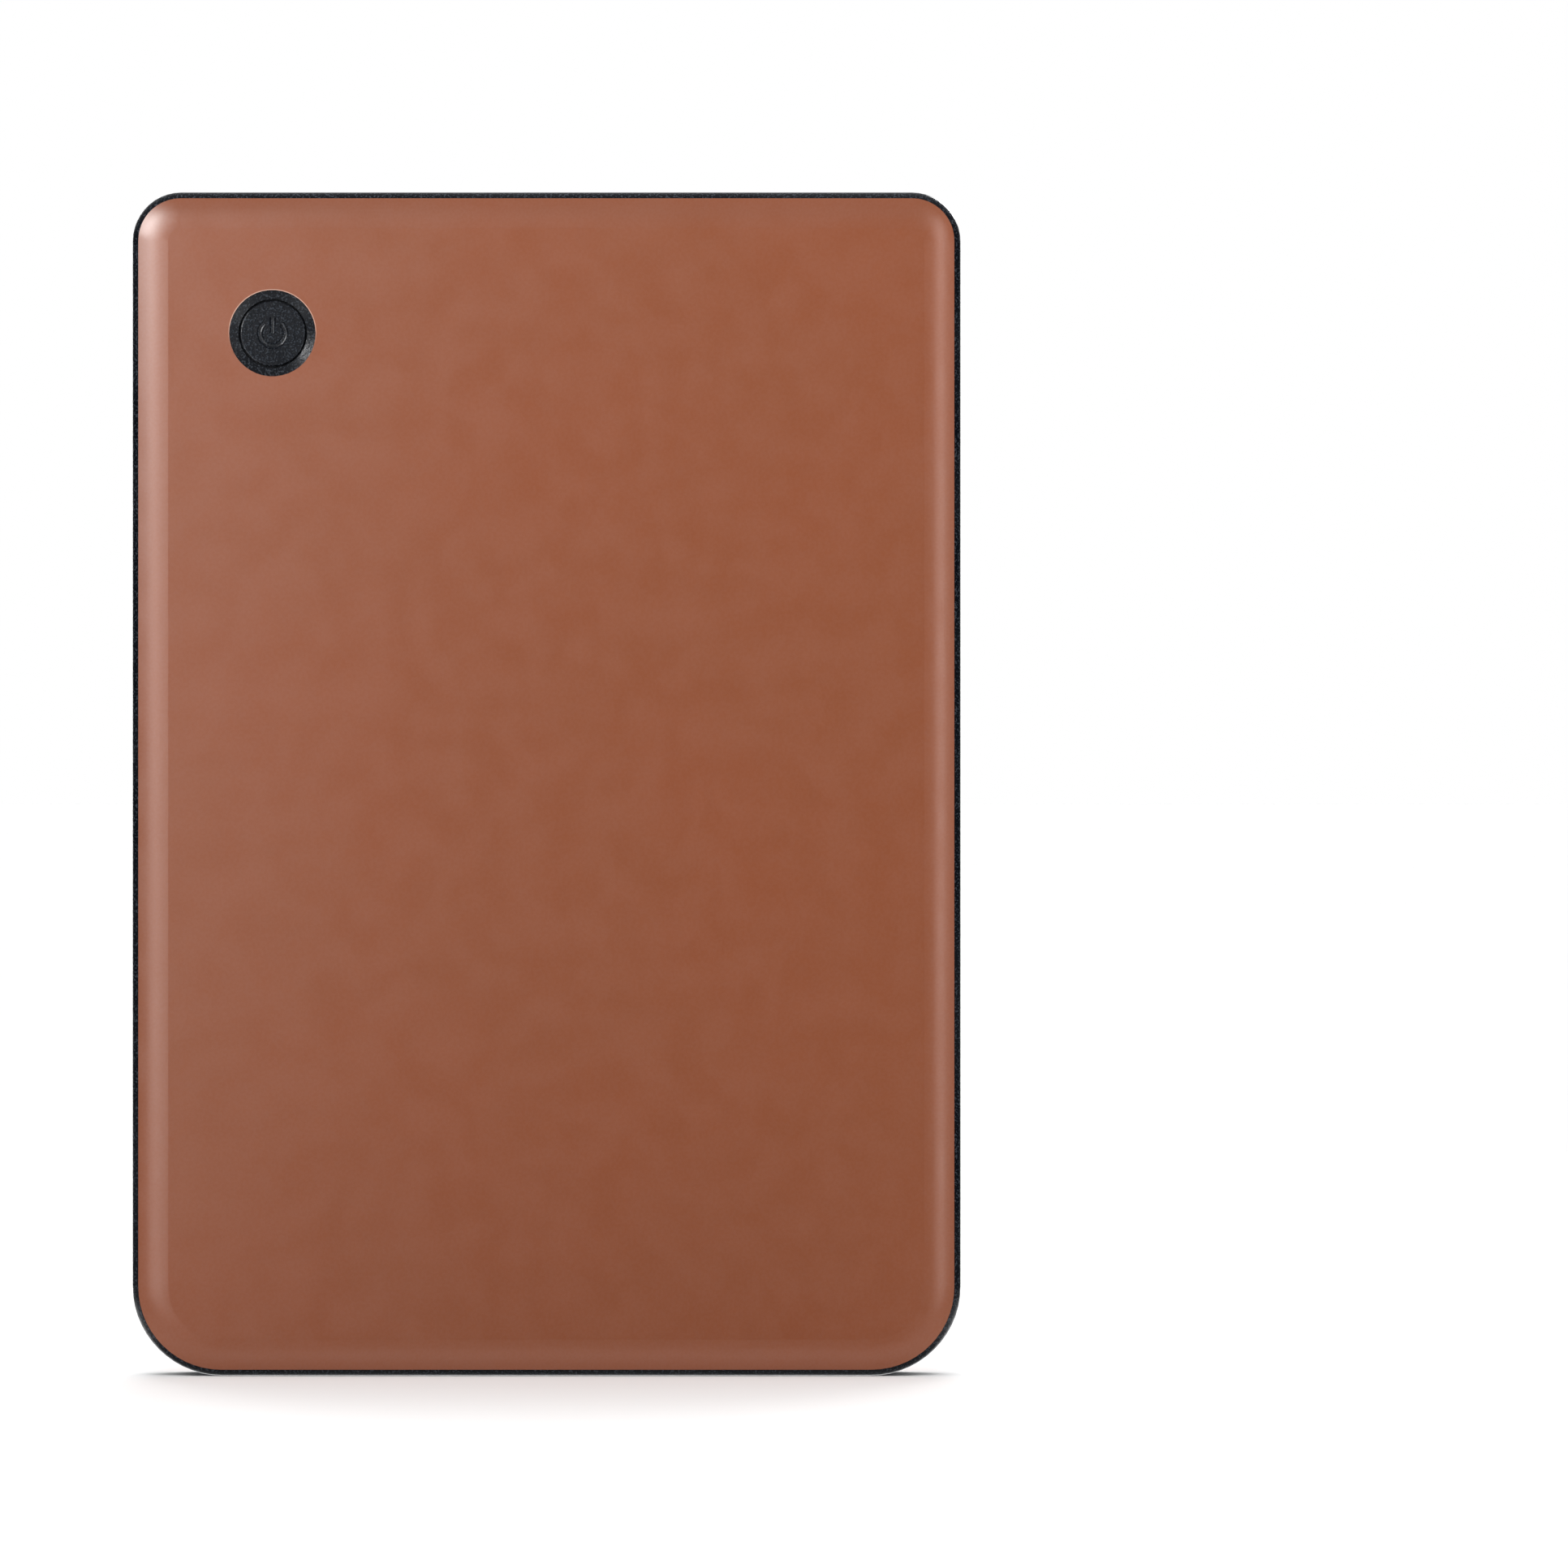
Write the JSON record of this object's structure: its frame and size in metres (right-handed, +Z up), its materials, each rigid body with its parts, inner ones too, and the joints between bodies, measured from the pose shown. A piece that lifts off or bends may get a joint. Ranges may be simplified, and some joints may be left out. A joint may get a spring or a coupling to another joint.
{
  "type": "e-reader",
  "caption": "Slim six-inch colour e-paper reader with a round power button on its back, a USB-C port in its bottom edge and matt terracotta vinyl skins.",
  "frame": {"origin": "middle of the bottom edge's resting line, at the centre of the bounding box's bottom face", "axes": "+Z up along the height to the top edge, -Y out of the screen, +Y out of the back, +X to the right as the screen is read"},
  "size_m": [0.112, 0.0096, 0.16],
  "materials": {
    "vinyl_skin": "matt cast vinyl, terracotta",
    "black_plastic": "fine spark-eroded texture, near black",
    "button_plastic": "fine spark-eroded texture, near black",
    "silicone": "matt",
    "steel": "bright",
    "clear_plastic": "clear moulded plastic",
    "screen_film": "anti-glare film, fine matt",
    "tape": "matt tape",
    "ribbon_film": "amber polyimide",
    "led_resin": "phosphor resin",
    "epaper": "matt, paper-like",
    "backplane": "thin glass with printed circuits",
    "chip_resin": "matt moulding resin",
    "foam": "closed-cell foam",
    "magnesium": "bead blasted",
    "cell_pouch": "satin laminate",
    "circuit_board": "green solder mask",
    "red_wire": "insulated wire",
    "cream_plastic": "moulded",
    "shield_metal": "tinned sheet",
    "component_ceramic": "fired",
    "socket_plastic": "moulded",
    "port_metal": "satin nickel",
    "gold": "gold plated",
    "black_wire": "coaxial cable"
  },
  "bodies": {
    "casing": {"front_skin": "vinyl_skin", "rear_skin": "vinyl_skin", "front_frame": "black_plastic", "rear_cover": "black_plastic", "frame_gasket": "silicone", "button_seal": "silicone", "button_retainer": "steel", "light_pipe": "clear_plastic", "display_adhesive": "tape", "touch_film": "screen_film", "light_guide": "clear_plastic", "light_bar_flex": "ribbon_film", "light_bar_leds": "led_resin", "epaper_film": "epaper", "backplane_glass": "backplane", "driver_chips": "chip_resin", "display_flex": "ribbon_film", "touch_flex": "ribbon_film", "display_foam": "foam", "midframe": "magnesium", "chassis_screws": "steel", "battery_cell": "cell_pouch", "battery_tapes": "tape", "battery_board": "circuit_board", "battery_leads": "red_wire", "battery_plug": "cream_plastic", "battery_socket": "cream_plastic", "battery_pad": "foam", "main_board": "circuit_board", "processor": "chip_resin", "memory_chip": "chip_resin", "storage_chip": "chip_resin", "power_chips": "chip_resin", "wifi_module": "shield_metal", "shield_frame": "shield_metal", "shield_lid": "shield_metal", "inductors": "chip_resin", "capacitors": "component_ceramic", "quartz_crystals": "shield_metal", "display_socket": "socket_plastic", "touch_socket": "socket_plastic", "light_socket": "socket_plastic", "button_socket": "socket_plastic", "board_screws": "steel", "usb_shell": "port_metal", "usb_tongue": "socket_plastic", "usb_contacts": "gold", "usb_seal": "silicone", "antenna_flex": "ribbon_film", "antenna_plug": "gold", "antenna_cable": "black_wire", "button_board": "circuit_board", "button_flex": "ribbon_film", "switch_body": "shield_metal", "status_led": "led_resin", "hall_sensor": "chip_resin"},
    "power_button": {"power_button": "button_plastic"},
    "switch_plunger": {"switch_plunger": "cream_plastic"}
  },
  "joints": [
    {"name": "power_button_press", "type": "slide", "parent": "casing", "child": "power_button", "axis": [0, -1, 0], "range_m": [0, 0.00035], "stiffness_N_per_m": 1500, "springref_m": -0.0003},
    {"name": "switch_press", "type": "slide", "parent": "casing", "child": "switch_plunger", "axis": [0, -1, 0], "range_m": [0, 0.00035]}
  ],
  "couplings": [
    {"joint": "switch_press", "follows": "power_button_press", "ratio": 1}
  ]
}
